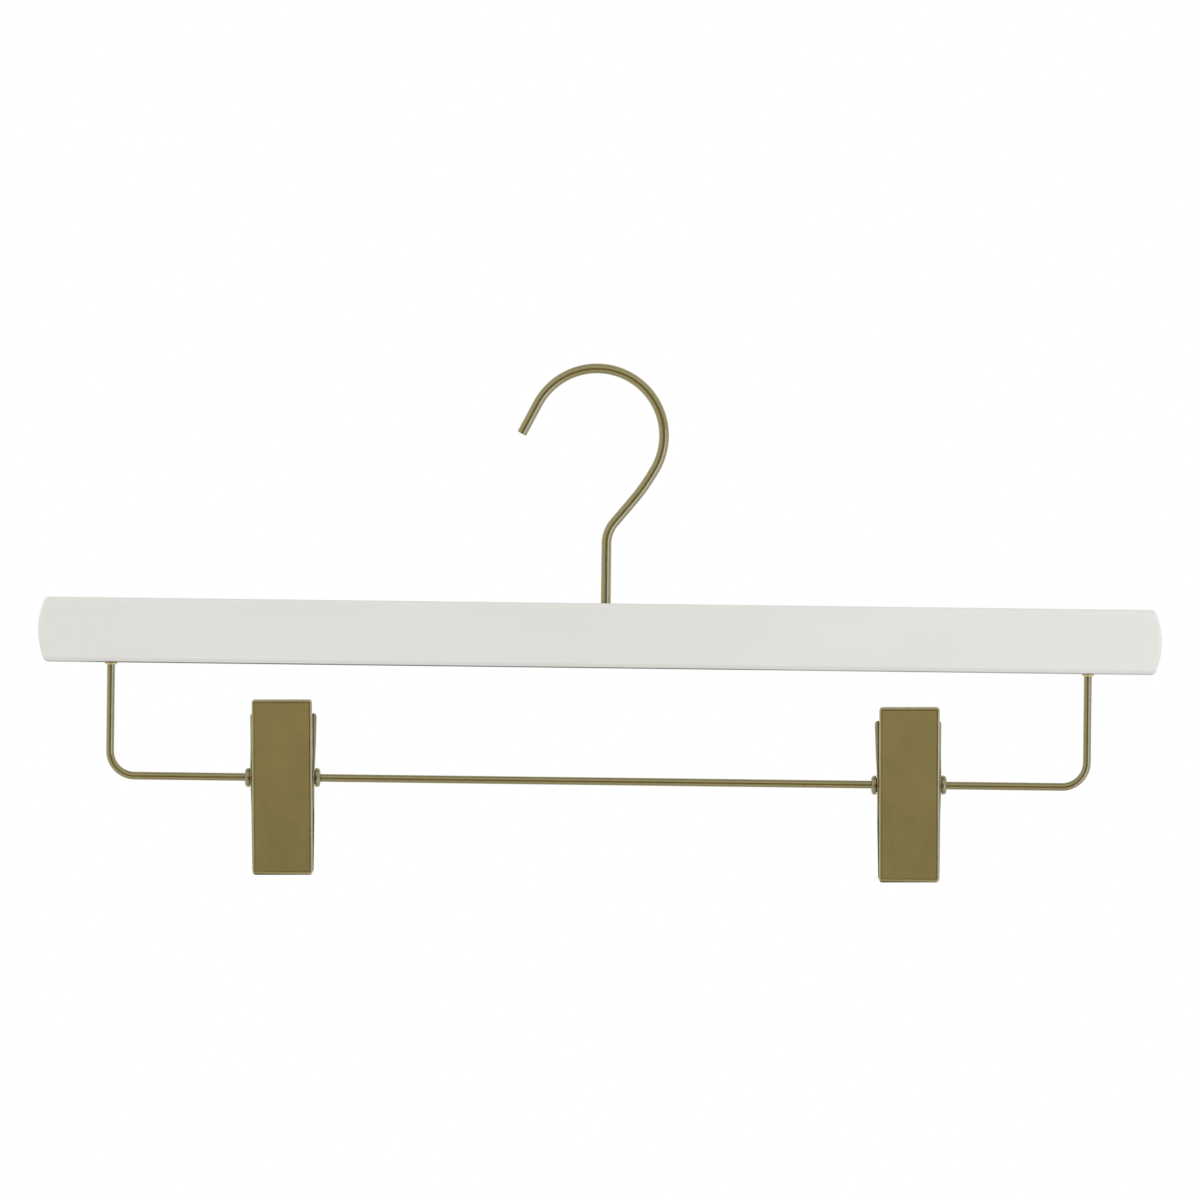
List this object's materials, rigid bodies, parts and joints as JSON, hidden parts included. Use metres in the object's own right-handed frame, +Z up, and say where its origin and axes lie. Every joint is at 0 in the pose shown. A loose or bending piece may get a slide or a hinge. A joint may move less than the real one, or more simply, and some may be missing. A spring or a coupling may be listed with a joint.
{
  "type": "clip hanger",
  "caption": "Skirt hanger: white lacquered wooden bar with a swivelling brass wire hook, a wire rail below and sprung brass clips that slide, swing and open.",
  "frame": {"origin": "the hook's seat, the inside top of its bowl, where it rests on a closet rail", "axes": "+Z up, +X along the bar to the right, -Y towards the viewer, so the front jaws face -Y"},
  "size_m": [0.38, 0.018, 0.1744],
  "materials": {
    "lacquered_wood": "satin white lacquer",
    "brass_wire": "antique gold plated wire, satin",
    "brass_plate": "antique gold plated sheet, satin",
    "brass_fitting": "antique gold plated, bright",
    "spring_steel": "drawn spring wire",
    "washer_steel": "plain stamped steel",
    "grip_rubber": "matt moulded rubber"
  },
  "bodies": {
    "hook": {"hook": "brass_wire"},
    "hanger": {"bar": "lacquered_wood", "hook_washer": "washer_steel", "rail": "brass_wire", "rail_ferrule_left": "brass_fitting", "rail_ferrule_right": "brass_fitting"},
    "left_tube": {"left_pivot_tube": "brass_fitting"},
    "left_rear": {"left_rear_jaw": "brass_plate", "left_rear_pad": "grip_rubber", "left_spring": "spring_steel"},
    "left_front": {"left_front_jaw": "brass_plate", "left_front_pad": "grip_rubber"},
    "right_tube": {"right_pivot_tube": "brass_fitting"},
    "right_rear": {"right_rear_jaw": "brass_plate", "right_rear_pad": "grip_rubber", "right_spring": "spring_steel"},
    "right_front": {"right_front_jaw": "brass_plate", "right_front_pad": "grip_rubber"}
  },
  "joints": [
    {"name": "hook_swivel", "type": "hinge", "parent": "hook", "child": "hanger", "pos_m": [0.00369, 0, -0.0778], "axis": [0, 0, 1], "continuous": true},
    {"name": "left_clip_slide", "type": "slide", "parent": "hanger", "child": "left_tube", "axis": [1, 0, 0], "range_m": [-0.0365, 0.094]},
    {"name": "left_clip_swing", "type": "hinge", "parent": "left_tube", "child": "left_rear", "pos_m": [-0.10496, 0, -0.1381], "axis": [1, 0, 0], "continuous": true},
    {"name": "left_clip_open", "type": "hinge", "parent": "left_rear", "child": "left_front", "pos_m": [-0.10496, 0, -0.1381], "axis": [-1, 0, 0], "range_deg": [0, 28], "stiffness_Nm_per_rad": 0.15, "springref_deg": -68.75, "deforming": ["left_spring"]},
    {"name": "right_clip_slide", "type": "slide", "parent": "hanger", "child": "right_tube", "axis": [1, 0, 0], "range_m": [-0.091, 0.0381]},
    {"name": "right_clip_swing", "type": "hinge", "parent": "right_tube", "child": "right_rear", "pos_m": [0.10706, 0, -0.1381], "axis": [1, 0, 0], "continuous": true},
    {"name": "right_clip_open", "type": "hinge", "parent": "right_rear", "child": "right_front", "pos_m": [0.10706, 0, -0.1381], "axis": [-1, 0, 0], "range_deg": [0, 28], "stiffness_Nm_per_rad": 0.15, "springref_deg": -68.75, "deforming": ["right_spring"]}
  ]
}
